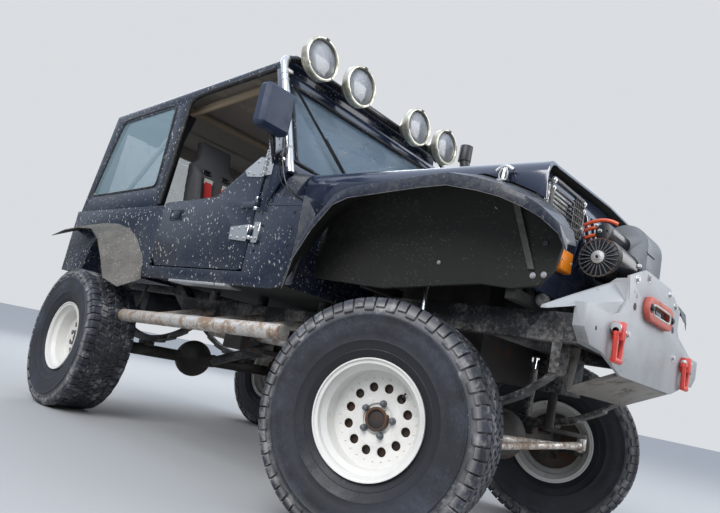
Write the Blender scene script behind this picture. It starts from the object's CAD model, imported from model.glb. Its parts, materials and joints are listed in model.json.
import json
import math

import bmesh
import bpy
from mathutils import Matrix, Vector
from mathutils.bvhtree import BVHTree


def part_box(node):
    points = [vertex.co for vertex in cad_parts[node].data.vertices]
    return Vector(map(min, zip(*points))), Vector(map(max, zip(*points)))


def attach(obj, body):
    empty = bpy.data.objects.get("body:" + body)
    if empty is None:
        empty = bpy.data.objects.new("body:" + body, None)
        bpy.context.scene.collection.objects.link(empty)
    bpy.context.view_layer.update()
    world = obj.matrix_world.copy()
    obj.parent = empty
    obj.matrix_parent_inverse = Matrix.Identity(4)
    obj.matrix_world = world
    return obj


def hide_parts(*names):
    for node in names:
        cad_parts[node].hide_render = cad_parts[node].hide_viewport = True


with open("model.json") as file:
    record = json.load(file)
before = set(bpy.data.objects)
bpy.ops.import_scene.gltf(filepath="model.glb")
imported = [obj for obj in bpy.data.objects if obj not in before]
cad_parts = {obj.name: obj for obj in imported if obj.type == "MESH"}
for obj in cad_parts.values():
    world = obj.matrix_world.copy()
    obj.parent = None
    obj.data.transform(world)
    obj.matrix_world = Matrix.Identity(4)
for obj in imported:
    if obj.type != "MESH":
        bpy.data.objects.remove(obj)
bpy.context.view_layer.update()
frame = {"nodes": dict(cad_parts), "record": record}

# A lifted off-road 4x4 dressed over its CAD frame. Everything is in metres: X forward, Y to its left, Z up.
record = frame["record"]
bodyOf = {node: body for body, members in record["behaviour"]["bodies"].items() for node in members}
slotOf = {part["node"]: part["material_slot"] for part in record["subparts"]}
frontAxle = 1.25
axles = {"rear": -2.373, "kingpin": 0.700, "height": 0.412, "steer": 19, "frontReach": 0.050, "rearReach": 0.115}


def at(distance):  # a station measured forward from the front axle
    return frontAxle + distance


# Shader maths written as arithmetic
class Wire:
    def __init__(self, finish, socket):
        self.finish, self.socket = finish, socket

    def maths(self, operation, first, second):
        return self.finish.node("ShaderNodeMath", {"operation": operation}, {0: first, 1: second})

    def __add__(self, other):
        return self.maths("ADD", self, other)

    def __sub__(self, other):
        return self.maths("SUBTRACT", self, other)

    def __rsub__(self, other):
        return self.maths("SUBTRACT", other, self)

    def __mul__(self, other):
        return self.maths("MULTIPLY", self, other)

    def over(self, low, high):  # 0 below low, 1 above high, smooth between
        settings = {"interpolation_type": "SMOOTHSTEP"}
        return self.finish.node("ShaderNodeMapRange", settings, {0: self, 1: low, 2: high, 3: 0.0, 4: 1.0})

    def least(self, other):
        return self.maths("MINIMUM", self, other)

    def most(self, other):
        return self.maths("MAXIMUM", self, other)

    __radd__ = __add__
    __rmul__ = __mul__


class Finish:
    def __init__(self, name, **shader):
        self.material = bpy.data.materials.new(name)
        self.material.use_nodes = True
        self.tree = self.material.node_tree
        self.shader = self.tree.nodes["Principled BSDF"]
        self.end = self.tree.nodes["Material Output"]
        self.place = self.node("ShaderNodeTexCoord", output="Object")
        self.set(**shader)

    def node(self, kind, settings=None, inputs=None, output=0):
        new = self.tree.nodes.new(kind)
        for key, value in (settings or {}).items():
            setattr(new, key, value)
        for key, value in (inputs or {}).items():
            self.feed(new.inputs[key], value)
        return Wire(self, new.outputs[output])

    def feed(self, socket, value):
        if isinstance(value, Wire):
            self.tree.links.new(value.socket, socket)
        elif socket.type == "RGBA":
            socket.default_value = (*value[:3], 1)
        else:
            socket.default_value = value

    def set(self, **shader):
        for name, value in shader.items():
            self.feed(self.shader.inputs[name.replace("_", " ")], value)

    def stretched(self, size, turn=(0, 0, 0)):  # a pattern whose cells have this size in metres along turned axes
        inputs = {"Vector": self.place, "Scale": size, "Rotation": turn}
        return self.node("ShaderNodeMapping", {"vector_type": "TEXTURE"}, inputs)

    def noise(self, scale, detail=4.0, roughness=0.55, where=None):
        inputs = {"Vector": where or self.place, "Scale": scale, "Detail": detail, "Roughness": roughness}
        return self.node("ShaderNodeTexNoise", inputs=inputs)

    def cells(self, scale, where=None):
        return self.node("ShaderNodeTexVoronoi", inputs={"Vector": where or self.place, "Scale": scale})

    def bands(self, scale, direction, distortion=0.0):
        settings = {"wave_type": "BANDS", "bands_direction": direction}
        inputs = {"Vector": self.place, "Scale": scale, "Distortion": distortion, "Detail": 1.0}
        return self.node("ShaderNodeTexWave", settings, inputs, output="Fac")

    def axis(self, letter):
        return self.node("ShaderNodeSeparateXYZ", inputs={0: self.place}, output="XYZ".index(letter))

    def mix(self, share, first, second):
        return self.node("ShaderNodeMix", {"data_type": "RGBA"}, {0: share, 6: first, 7: second}, output=2)

    def attribute(self, name):
        return self.node("ShaderNodeAttribute", {"attribute_name": name}, output="Fac")

    def bump(self, height, strength=0.3, distance=0.002):
        inputs = {"Height": height, "Strength": strength, "Distance": distance}
        self.set(Normal=self.node("ShaderNodeBump", inputs=inputs))


# Colours of the vehicle, linear
shades = {
    "navy": (0.0075, 0.0125, 0.027),
    "hoodBlue": (0.014, 0.021, 0.045),
    "dust": (0.15, 0.145, 0.135),
    "archMud": (0.011, 0.011, 0.0085),
    "paleMud": (0.19, 0.175, 0.15),
    "fleck": (0.46, 0.45, 0.42),
    "cream": (0.66, 0.64, 0.60),
    "rust": (0.085, 0.034, 0.016),
    "rubber": (0.009, 0.010, 0.013),
    "rubberDust": (0.056, 0.063, 0.086),
    "bumper": (0.30, 0.305, 0.31),
}


def muddyPaint(name, base, film, spatter, gloss=0.24, even=0.06, coat=0.3):
    # Enamel with a film of dust, more of it low down and to the rear, and thrown streaks of pale mud
    finish = Finish(name, Coat_Roughness=0.1, Coat_IOR=1.5, Specular_IOR_Level=0.22 + 0.4 * (coat > 0.5))
    low = 1 - finish.axis("Z").over(0.85, 1.55)
    rear = 1 - finish.axis("X").over(-0.9, 0.75)
    cloud = finish.noise(3.3, 6.0, 0.62)
    fine = finish.noise(45.0, 5.0, 0.72)
    veil = (cloud * 0.5 + fine * 0.5).over(0.40, 0.72) * (low * 0.45 + rear * 0.42 + even) * film
    streaks = 0
    for size, turn, near in (((0.072, 0.026, 0.022), (0, 0.9, 0.2), 0.19),
        ((0.034, 0.017, 0.014), (0, 0.6, 0.5), 0.20),
        ((0.050, 0.020, 0.017), (0, -1.0, 0.0), 0.17)):
        drops = 1 - finish.cells(1.0, finish.stretched(size, turn)).over(near * 0.55, near)
        zone = finish.noise(4.0 + 60 * size[0], 3.0, 0.6).over(0.42, 0.56)
        streaks = (drops * zone).most(streaks)
    thrown = (streaks * (low * 0.35 + rear * 0.75 + 0.06) * spatter).least(1.0)
    colour = finish.mix(veil.least(0.8), base, shades["dust"])
    colour = finish.mix(thrown, colour, shades["fleck"])
    dirt = veil.most(thrown)
    finish.set(Base_Color=colour, Roughness=(gloss + dirt * 0.55).least(0.92),
        Coat_Weight=(coat - dirt * 0.8).most(0.0))
    finish.bump(dirt + fine * 0.15, 0.2, 0.001)
    return finish.material


def cakedMud(name, base, mud, amount, rough=0.85, specks=0.0, bumps=0.004):
    finish = Finish(name)
    lumps = finish.noise(6.0, 8.0, 0.68)
    grain = finish.noise(70.0, 4.0, 0.7)
    cover = (lumps * 0.65 + grain * 0.35).over(0.66 - amount * 0.4, 0.80 - amount * 0.3)
    colour = finish.mix(cover, base, mud)
    if specks:
        splash = (1 - finish.cells(1.0, finish.stretched((0.017, 0.012, 0.014))).over(0.14,
            0.3)) * finish.noise(9.0, 3.0).over(0.42, 0.6)
        colour = finish.mix(splash * specks, colour, shades["fleck"])
    finish.set(Base_Color=colour, Roughness=(rough - 0.12 + cover * 0.2).least(0.98))
    finish.bump(lumps * 0.7 + grain * 0.5 + cover * 0.4, 0.5, bumps)
    return finish.material


def wornMetal(name, base, rust, amount, metallic=1.0, rough=0.32, dusty=0.35, grain=0.4):
    finish = Finish(name)
    blotch = finish.noise(11.0, 7.0, 0.66)
    pits = finish.noise(90.0, 4.0, 0.6)
    cover = (blotch * 0.75 + pits * 0.25).over(0.62 - amount * 0.35, 0.72 - amount * 0.25)
    dust = finish.noise(4.0, 4.0).over(0.45, 0.75)
    colour = finish.mix(dust * dusty, base, shades["dust"])
    colour = finish.mix(cover, colour, rust)
    finish.set(Base_Color=colour, Metallic=(1 - cover.most(dust * dusty)) * metallic)
    finish.set(Roughness=(rough + cover * 0.45 + pits * 0.12).least(0.95))
    finish.bump(cover * 0.5 + pits * grain, 0.3, 0.0008)
    return finish.material


def grainedPlastic(name, base, rough=0.5, dirt=0.3, scale=420.0):
    finish = Finish(name)
    grain = finish.cells(scale)
    cloud = finish.noise(8.0, 5.0, 0.6).over(0.45, 0.75)
    finish.set(Base_Color=finish.mix(cloud * dirt, base, shades["dust"]),
        Roughness=(rough + cloud * 0.25).least(0.95))
    finish.bump(grain, 0.15, 0.0006)
    return finish.material


def glassy(name, base, rough=0.03, alpha=0.3):
    finish = Finish(name, IOR=1.45)
    film = finish.noise(2.6, 4.0, 0.6).over(0.46, 0.9)
    wiped = finish.noise(9.0, 2.0, 0.5, finish.stretched((1.0, 0.15, 0.4))).over(0.5, 0.75)
    dirt = film * 0.28 + wiped * 0.06
    finish.set(Base_Color=finish.mix(dirt, base, shades["dust"]), Roughness=(rough + dirt * 0.35).least(0.8))
    finish.set(Alpha=(alpha + dirt * 0.5).least(1.0))
    return finish.material


def fabricWeave(name, base, second, scale=260.0, rough=0.9):
    finish = Finish(name, Sheen_Weight=0.06, Sheen_Roughness=0.5)
    weave = finish.bands(scale, "DIAGONAL", distortion=1.5)
    cloud = finish.noise(9.0, 5.0, 0.6)
    finish.set(Base_Color=finish.mix((weave * 0.4 + cloud * 0.5).least(1.0), base, second), Roughness=rough)
    finish.bump(weave, 0.3, 0.0008)
    return finish.material


def rubberFinish(name):
    # Sidewalls and lug faces in bluish black, with dry mud held between the lugs (the tread attribute)
    finish = Finish(name)
    held, film = finish.attribute("tread"), finish.attribute("dusty")
    cloud = finish.noise(7.0, 6.0, 0.65)
    fine = finish.noise(130.0, 4.0, 0.6)
    dusty = (cloud * 0.65 + fine * 0.35).over(0.40, 0.70)
    colour = finish.mix(dusty * film, shades["rubber"], shades["rubberDust"])
    smears = (cloud * 0.5 + finish.noise(22.0, 6.0, 0.75) * 0.5).over(0.50, 0.62)
    colour = finish.mix((smears * film.over(0.8, 1.0) * 0.7 + held * 0.55).least(0.9), colour, (0.27, 0.26, 0.25))
    finish.set(Base_Color=colour, Roughness=(0.5 + dusty * 0.4).least(0.95))
    finish.bump(fine + held * cloud, 0.3, 0.0012)
    return finish.material


def flutedLens(name, tint, direction, scale, metallic=0.75):
    # Pressed glass over a bright reflector, with its ribs and a few mud spots
    finish = Finish(name, Coat_Weight=1.0, Coat_Roughness=0.03)
    ribs = finish.bands(scale, direction)
    cross = finish.bands(scale * 0.35, "Z" if direction == "Y" else "Y")
    cloud = finish.noise(9.0, 3.0, 0.5)
    spots = (1 - finish.cells(60.0).over(0.10, 0.2)) * finish.noise(8.0, 2.0).over(0.5, 0.62)
    colour = finish.mix((ribs * 0.45 + cross * 0.2 + cloud * 0.35).least(1.0), tint,
        [min(1, part * 2.2) for part in tint])
    colour = finish.mix(spots * 0.7, colour, shades["dust"])
    finish.set(Base_Color=colour, Roughness=0.16 + cloud * 0.2 + spots * 0.4, Metallic=metallic - spots * metallic)
    finish.bump(ribs + cross * 0.4, 0.7, 0.003)
    return finish.material


def barrelGold(name):
    # Weathered chrome that picks up a straw tint and dull patches
    finish = Finish(name)
    cloud = finish.noise(14.0, 5.0, 0.65)
    colour = finish.mix(cloud.over(0.42, 0.66), (0.62, 0.60, 0.50), (0.30, 0.28, 0.22))
    finish.set(Base_Color=colour, Metallic=0.85 - cloud.over(0.5, 0.7) * 0.4, Roughness=0.22 + cloud * 0.35)
    finish.bump(cloud, 0.12, 0.0008)
    return finish.material


materials = {
    "body_paint": muddyPaint("navyEnamel", shades["navy"], 0.34, 1.6),
    "frame_paint": cakedMud("frameBlack", (0.009, 0.009, 0.011), (0.23, 0.215, 0.20), 0.52, 0.6, 0.0, 0.008),
    "flare_plastic": cakedMud("flareMud", (0.060, 0.056, 0.050), (0.13, 0.12, 0.105), 0.75, 0.85, 0.6),
    "wheel_paint": wornMetal("creamEnamel", shades["cream"], (0.28, 0.20, 0.12), 0.04, 0.0, 0.36, 0.22),
    "tyre_rubber": rubberFinish("tyreRubber"),
    "bumper_paint": wornMetal("bumperGrey", shades["bumper"], (0.20, 0.17, 0.14), 0.10, 0.0, 0.42, 0.55),
    "bare_steel": wornMetal("sliderSteel", (0.66, 0.63, 0.59), (0.22, 0.15, 0.10), 0.55, 0.85, 0.36),
    "polished_metal": wornMetal("polishedSteel", (0.66, 0.66, 0.65), (0.20, 0.17, 0.13), 0.02, 1.0, 0.16, 0.14,
        0.05),
    "cast_metal": wornMetal("castIron", (0.035, 0.031, 0.028), shades["rust"], 0.25, 0.3, 0.62, 0.6),
    "clear_lens": flutedLens("clearLens", (0.12, 0.125, 0.135), "Y", 95.0, 0.6),
    "amber_lens": grainedPlastic("amberLens", (0.82, 0.23, 0.01), 0.18, 0.08, 90.0),
    "red_lens": grainedPlastic("redLens", (0.42, 0.012, 0.01), 0.15, 0.1, 90.0),
    "tinted_glass": glassy("tintedGlass", (0.26, 0.38, 0.43), 0.02, 0.36),
    "seat_cloth": fabricWeave("seatCloth", (0.006, 0.006, 0.007), (0.015, 0.0145, 0.016)),
    "dash_plastic": grainedPlastic("dashPlastic", (0.03, 0.03, 0.032), 0.55, 0.25),
    "cage_pad": fabricWeave("cagePadding", (0.36, 0.28, 0.185), (0.24, 0.185, 0.12), 140.0),
    "red_paint": wornMetal("redEnamel", (0.55, 0.045, 0.03), (0.16, 0.07, 0.05), 0.12, 0.0, 0.4),
    "trim_plastic": grainedPlastic("blackTrim", (0.017, 0.018, 0.021), 0.45, 0.22),
}
extras = {
    "windshield": glassy("windshieldGlass", (0.22, 0.31, 0.40), 0.02, 0.30),
    "hoodBlue": muddyPaint("hoodEnamel", shades["hoodBlue"], 0.30, 0.3, 0.16, coat=0.6),
    "fenderMud": muddyPaint("fenderEnamel", (0.012, 0.016, 0.028), 0.8, 0.7, 0.3, 0.42, 0.35),
    "archMud": cakedMud("archMud", shades["archMud"], (0.045, 0.044, 0.036), 0.30, 0.9, 0.08, 0.006),
    "lipEdge": wornMetal("wornLip", (0.26, 0.255, 0.24), (0.05, 0.045, 0.04), 0.40, 0.2, 0.6),
    "headliner": fabricWeave("headliner", (0.34, 0.295, 0.24), (0.24, 0.205, 0.165), 90.0),
    "seal": cakedMud("doorSeal", (0.010, 0.010, 0.011), shades["paleMud"], 0.28, 0.8, 0.7, 0.002),
    "mirrorBlue": grainedPlastic("mirrorShell", (0.008, 0.018, 0.045), 0.5, 0.02),
    "winchGrey": wornMetal("winchGrey", (0.10, 0.108, 0.12), (0.10, 0.085, 0.07), 0.12, 0.3, 0.42, 0.35),
    "blackGloss": wornMetal("blackGloss", (0.010, 0.010, 0.012), (0.06, 0.05, 0.045), 0.08, 0.0, 0.22, 0.12),
    "orangeLead": grainedPlastic("orangeLead", (0.62, 0.085, 0.022), 0.42, 0.12, 200.0),
    "silverDust": wornMetal("dustySilver", (0.52, 0.52, 0.52), (0.14, 0.11, 0.09), 0.2, 0.9, 0.34, 0.45),
    "strawChrome": barrelGold("strawChrome"),
    "creamLens": flutedLens("headlampLens", (0.42, 0.41, 0.36), "Z", 75.0, 0.25),
    "harnessRed": fabricWeave("harnessRed", (0.46, 0.018, 0.016), (0.30, 0.012, 0.012), 420.0),
    "paleStrap": fabricWeave("paleStrap", (0.55, 0.54, 0.5), (0.40, 0.39, 0.36), 420.0),
    "hawseRed": wornMetal("hawseRed", (0.42, 0.085, 0.06), (0.30, 0.12, 0.09), 0.3, 0.0, 0.5),
    "skidMetal": wornMetal("skidMetal", (0.22, 0.20, 0.175), (0.10, 0.08, 0.06), 0.35, 0.2, 0.5, 0.5),
    "hubRust": wornMetal("hubRust", (0.055, 0.040, 0.032), (0.10, 0.045, 0.025), 0.5, 0.3, 0.6),
    "archSteel": wornMetal("archSteel", (0.075, 0.070, 0.060), (0.16, 0.15, 0.13), 0.4, 0.2, 0.6),
    "blackCloth": fabricWeave("visorCloth", (0.014, 0.014, 0.015), (0.03, 0.03, 0.032), 380.0),
    "seamThread": fabricWeave("seamThread", (0.05, 0.05, 0.055), (0.08, 0.08, 0.085), 900.0),
    "mirrorGlass": glassy("mirrorGlass", (0.6, 0.64, 0.68), 0.03, 1.0),
}
blackGloss, silverDust = extras["blackGloss"], extras["silverDust"]
print("finishes made")


# Mesh helpers
def newPiece(name, mesh):
    piece = bpy.data.objects.new(name, mesh)
    bpy.context.scene.collection.objects.link(piece)
    return piece


def settled(piece, angle=38):
    # The evaluated shape becomes the piece's own mesh, with no modifier left on it
    graph = bpy.context.evaluated_depsgraph_get()
    graph.update()
    mesh = bpy.data.meshes.new_from_object(piece.evaluated_get(graph))
    name = piece.name
    bpy.data.objects.remove(piece)
    piece = newPiece(name, mesh)
    mesh.shade_smooth()
    mesh.set_sharp_from_angle(angle=math.radians(angle))
    return piece


def finished(piece, body, slot, material=None, stands=None):
    if material or not piece.data.materials:
        piece.data.materials.clear()
        piece.data.materials.append(material or materials[slot])
    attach(piece, body)
    if stands:
        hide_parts(*stands)
    return piece


def bevelled(piece, width, segments=2, angle=35, subdivide=0):
    bevel = piece.modifiers.new("edges", "BEVEL")
    bevel.width, bevel.segments, bevel.limit_method = width, segments, "ANGLE"
    bevel.angle_limit = math.radians(angle)
    if subdivide:
        smooth = piece.modifiers.new("smooth", "SUBSURF")
        smooth.levels = smooth.render_levels = subdivide
    return settled(piece)


def fromShape(name, shape):
    mesh = bpy.data.meshes.new(name)
    bmesh.ops.recalc_face_normals(shape, faces=shape.faces)
    shape.to_mesh(mesh)
    shape.free()
    return newPiece(name, mesh)


def spun(name, profile, segments=48, place=(0, 0, 0), turn=None, closed=False):
    # A profile of (radius, height) turned round local Z; points on the axis close it
    shape = bmesh.new()
    rings = []
    for radius, height in profile:
        if radius < 1e-6:
            rings.append([shape.verts.new((0, 0, height))])
        else:
            step = math.tau / segments
            rings.append([shape.verts.new((radius * math.cos(i * step), radius * math.sin(i * step), height))
                for i in range(segments)])
    pairs = list(zip(rings, rings[1:])) + ([(rings[-1], rings[0])] if closed else [])
    for one, two in pairs:
        for i in range(segments):
            j = (i + 1) % segments
            corners = [one[i % len(one)], one[j % len(one)], two[j % len(two)], two[i % len(two)]]
            corners = [v for k, v in enumerate(corners) if v not in corners[:k]]
            if len(corners) > 2:
                shape.faces.new(corners)
    move = Matrix.Translation(place) @ (turn.to_4x4() if turn else Matrix())
    shape.transform(move)
    return fromShape(name, shape)


def plate(name, outline, thickness, direction=None):
    # A flat outline of points in space, given a thickness along its normal
    shape = bmesh.new()
    corners = [Vector(point) for point in outline]
    normal = Vector(direction) if direction else (corners[1] - corners[0]).cross(corners[2] - corners[1])
    normal = normal.normalized() * thickness
    low = [shape.verts.new(point) for point in corners]
    high = [shape.verts.new(point + normal) for point in corners]
    shape.faces.new(low)
    shape.faces.new(high[::-1])
    for i in range(len(low)):
        j = (i + 1) % len(low)
        shape.faces.new([low[i], high[i], high[j], low[j]])
    return fromShape(name, shape)


def brick(name, low, high):
    x0, y0, z0 = low
    x1, y1, z1 = high
    return plate(name, [(x0, y0, z0), (x1, y0, z0), (x1, y1, z0), (x0, y1, z0)], z1 - z0, (0, 0, 1))


def run(name, points, radius, smooth=True, closed=False):
    # A round tube along points
    curve = bpy.data.curves.new(name, "CURVE")
    curve.dimensions = "3D"
    spline = curve.splines.new("NURBS" if smooth else "POLY")
    spline.points.add(len(points) - 1)
    for spot, point in zip(spline.points, points):
        spot.co = (*point, 1)
    spline.use_cyclic_u = closed
    if smooth:
        spline.order_u, spline.use_endpoint_u = 3, not closed
        spline.resolution_u = 5
    curve.bevel_depth, curve.bevel_resolution, curve.use_fill_caps = radius, 2, True
    piece = newPiece(name, curve)
    return settled(piece, 60)


def joined(name, pieces):
    # Several meshes made one, each keeping its own materials
    shape = bmesh.new()
    slots = []
    for piece in pieces:
        start = len(shape.faces)
        shape.from_mesh(piece.data)
        shape.faces.ensure_lookup_table()
        for face in shape.faces[start:]:
            paint = piece.data.materials[face.material_index] if piece.data.materials else None
            if paint not in slots:
                slots.append(paint)
            face.material_index = slots.index(paint)
        bpy.data.objects.remove(piece)
    mesh = bpy.data.meshes.new(name)
    shape.to_mesh(mesh)
    shape.free()
    for paint in slots:
        if paint:
            mesh.materials.append(paint)
    whole = newPiece(name, mesh)
    mesh.set_sharp_from_angle(angle=math.radians(40))
    return whole


def painted(piece, material):
    piece.data.materials.clear()
    piece.data.materials.append(material)
    return piece


# A tube, a spun form and a block with their finish on
def tube(material, *form, **way):
    return painted(run(*form, **way), material)


def turned(material, *form):
    return painted(spun(*form), material)


def block(material, name, low, high, edge=0, segments=2):
    piece = brick(name, low, high)
    return painted(bevelled(piece, edge, segments) if edge else piece, material)


def sideName(side):
    return "left" if side > 0 else "right"


def onSide(path, side, y):  # stations and heights put at a distance from the middle
    return [(at(x), side * y, z) for x, z in path]


def along(path, side=1):  # points measured from the front axle, on either side
    return [(at(x), side * y, z) for x, y, z in path]


def sided(side, low, high):  # two corners of a block, in order on either side
    y0, y1 = sorted((side * low[1], side * high[1]))
    return (low[0], y0, low[2]), (high[0], y1, high[2])


def turnTo(outward, up=(0, 0, 1)):
    # The turn that sends local Z to outward and local X as near to up as it can be
    outward = Vector(outward).normalized()
    up = Vector(up)
    first = (up - outward * up.dot(outward)).normalized()
    return Matrix((first, outward.cross(first), outward)).transposed()


# One Geometry Nodes tree repeats a unit over points that carry their own turn and size
def repeatTree():
    tree = bpy.data.node_groups.new("repeatPiece", "GeometryNodeTree")
    face = tree.interface
    face.new_socket("Geometry", in_out="INPUT", socket_type="NodeSocketGeometry")
    face.new_socket("Unit", in_out="INPUT", socket_type="NodeSocketObject")
    face.new_socket("Size", in_out="INPUT", socket_type="NodeSocketFloat")
    face.new_socket("Finish", in_out="INPUT", socket_type="NodeSocketMaterial")
    face.new_socket("Geometry", in_out="OUTPUT", socket_type="NodeSocketGeometry")
    entry, leave = tree.nodes.new("NodeGroupInput"), tree.nodes.new("NodeGroupOutput")
    unit = tree.nodes.new("GeometryNodeObjectInfo")
    spread = tree.nodes.new("GeometryNodeInstanceOnPoints")
    whole = tree.nodes.new("GeometryNodeRealizeInstances")
    paint = tree.nodes.new("GeometryNodeSetMaterial")
    turn = tree.nodes.new("GeometryNodeInputNamedAttribute")
    turn.data_type = "FLOAT_VECTOR"
    turn.inputs["Name"].default_value = "turn"
    size = tree.nodes.new("GeometryNodeInputNamedAttribute")
    size.data_type = "FLOAT"
    size.inputs["Name"].default_value = "size"
    scale = tree.nodes.new("ShaderNodeMath")
    scale.operation = "MULTIPLY"
    link = tree.links.new
    link(entry.outputs["Geometry"], spread.inputs["Points"])
    link(entry.outputs["Unit"], unit.inputs["Object"])
    link(unit.outputs["Geometry"], spread.inputs["Instance"])
    link(turn.outputs[0], spread.inputs["Rotation"])
    link(size.outputs[0], scale.inputs[0])
    link(entry.outputs["Size"], scale.inputs[1])
    link(scale.outputs[0], spread.inputs["Scale"])
    link(spread.outputs["Instances"], whole.inputs["Geometry"])
    link(whole.outputs["Geometry"], paint.inputs["Geometry"])
    link(entry.outputs["Finish"], paint.inputs["Material"])
    link(paint.outputs["Geometry"], leave.inputs["Geometry"])
    return tree


repeatPiece = repeatTree()


def repeated(name, unit, spots, material, size=1.0):
    # spots: (place, turn as a matrix or None, size); the unit is used up
    mesh = bpy.data.meshes.new(name)
    mesh.from_pydata([spot[0] for spot in spots], [], [])
    mesh.attributes.new("turn", "FLOAT_VECTOR", "POINT")
    mesh.attributes.new("size", "FLOAT", "POINT")
    turns, sizes = mesh.attributes["turn"], mesh.attributes["size"]
    for i, (_, turn, scale) in enumerate(spots):
        turns.data[i].vector = turn.to_euler() if turn else (0, 0, 0)
        sizes.data[i].value = scale
    piece = newPiece(name, mesh)
    modifier = piece.modifiers.new("repeat", "NODES")
    modifier.node_group = repeatPiece
    values = {"Unit": unit, "Size": size, "Finish": material}
    for item in repeatPiece.interface.items_tree:
        if item.in_out == "INPUT" and item.name in values:
            modifier[item.identifier] = values[item.name]
    piece = settled(piece)
    bpy.data.objects.remove(unit)
    return piece


def skinOf(node, width, segments):
    # The CAD solid's own form with its edges broken, as sheet metal and castings have them
    mesh = frame["nodes"][node].data.copy()
    shape = bmesh.new()
    shape.from_mesh(mesh)
    bmesh.ops.remove_doubles(shape, verts=shape.verts, dist=1e-5)
    bmesh.ops.dissolve_limit(shape, angle_limit=math.radians(0.5), verts=shape.verts, edges=shape.edges)
    shape.to_mesh(mesh)
    shape.free()
    piece = newPiece(f"{node}_skin", mesh)
    return bevelled(piece, width, segments)


def dress(node, width=0.003, segments=2, material=None, others=(), corner=False):
    # others: (material, test of a face's middle and normal); the first test that holds picks the material.
    # corner tests a corner instead, for ring-shaped faces that have their middle on the axle.
    piece = skinOf(node, width, segments)
    slot = slotOf[node]
    piece.data.materials.clear()
    piece.data.materials.append(material or materials[slot])
    for paint, test in others:
        piece.data.materials.append(paint)
    if others:
        for face in piece.data.polygons:
            for index, (paint, test) in enumerate(others):
                if test(piece.data.vertices[face.vertices[0]].co if corner else face.center, face.normal):
                    face.material_index = index + 1
                    break
    return finished(piece, bodyOf[node], slot, stands=[node])


def wheelFrame(node):
    # The middle of a wheel on its axis, and the turn that sends local Z outward
    front, side = node.split("_")[1] == "front", -1 if node.endswith("right") else 1
    steer = math.radians(axles["steer"]) if front else 0.0
    outward = Vector((-side * math.sin(steer), side * math.cos(steer), 0))
    pivot = Vector((at(0 if front else axles["rear"]), side * axles["kingpin"], axles["height"]))
    middle = pivot + outward * axles["frontReach" if front else "rearReach"]
    return middle, turnTo(outward)


# Tyres: a spun carcass with a ring of tread pitches, and wheels with their small parts
tyreForm = {
    "segments": 128,
    "pitches": 30,
    "half": [
        (0.1905, 0.100), (0.1915, 0.1045), (0.2075, 0.1055), (0.213, 0.110), (0.2225, 0.1175), (0.2285, 0.1225),
        (0.2300, 0.1240),
        (0.2320, 0.1232), (0.245, 0.1290), (0.2600, 0.1355), (0.2618, 0.1373), (0.2640, 0.1368), (0.285, 0.1420),
        (0.300, 0.1452),
        (0.320, 0.1470), (0.3435, 0.1472), (0.3448, 0.1483), (0.3480, 0.1483), (0.3500, 0.1450), (0.364, 0.1405),
        (0.376, 0.1345),
        (0.386, 0.1265), (0.3915, 0.114), (0.3935, 0.100), (0.3965, 0.060), (0.3975, 0.020),
    ],
    "cavity": [(0.380, 0.098), (0.345, 0.132), (0.262, 0.118), (0.215, 0.092)],
    "longLug": [(0.390, 0.086), (0.4112, 0.0885), (0.4112, 0.1270), (0.4060, 0.1340), (0.395, 0.1393),
        (0.380, 0.1440), (0.364, 0.1485), (0.3605, 0.140), (0.380, 0.128)],
    "shortLug": [(0.390, 0.080), (0.4112, 0.0825), (0.4112, 0.1255), (0.4050, 0.1332), (0.395, 0.1385),
        (0.3775, 0.1442), (0.374, 0.134), (0.388, 0.122)],
    "lugHalf": 0.0190,
    "centreRows": (-0.0585, -0.0195, 0.0195, 0.0585),
}


def lug(shape, held, outline, half, turn, side=1, skew=0.0):
    # One block: its outline in radius and width, as long as two half sides round the tyre
    ends = []
    for end in (-1, 1):
        ring = []
        for radius, width in outline:
            point = Vector((radius, end * half * radius / axles["height"] + skew * (width - outline[0][1]),
                side * width))
            vertex = shape.verts.new(Matrix.Rotation(turn, 3, "Z") @ point)
            vertex[held] = 0.0 if radius > 0.3945 or abs(width) > 0.1455 else 1.0
            ring.append(vertex)
        ends.append(ring)
    low, high = ends
    shape.faces.new(low)
    shape.faces.new(high[::-1])
    for i in range(len(low)):
        j = (i + 1) % len(low)
        shape.faces.new([low[i], high[i], high[j], low[j]])


def treadUnit():
    shape = bmesh.new()
    shape.verts.layers.float.new("tread")
    shape.verts.layers.float.new("dusty")
    held = shape.verts.layers.float["tread"]
    degree = math.radians(1)
    for side, shift in ((1, 0), (-1, 3)):
        lug(shape, held, tyreForm["longLug"], tyreForm["lugHalf"], (shift - 3) * degree, side)
        lug(shape, held, tyreForm["shortLug"], tyreForm["lugHalf"] - 0.001, (shift + 3) * degree, side)
    for i, row in enumerate(tyreForm["centreRows"]):
        block = [(0.390, row - 0.0175), (0.4112, row - 0.0165), (0.4112, row + 0.0165), (0.390, row + 0.0175)]
        for turn in (-3, 3):
            lug(shape, held, block, 0.0150, (turn + 1.5 * (i % 2) + 0.7) * degree, skew=0.35 if i % 2 else -0.35)
    dusty = shape.verts.layers.float["dusty"]
    for vertex in shape.verts:
        vertex[dusty] = 1.0
    return bevelled(fromShape("treadUnit", shape), 0.0013, 1, 30)


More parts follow.
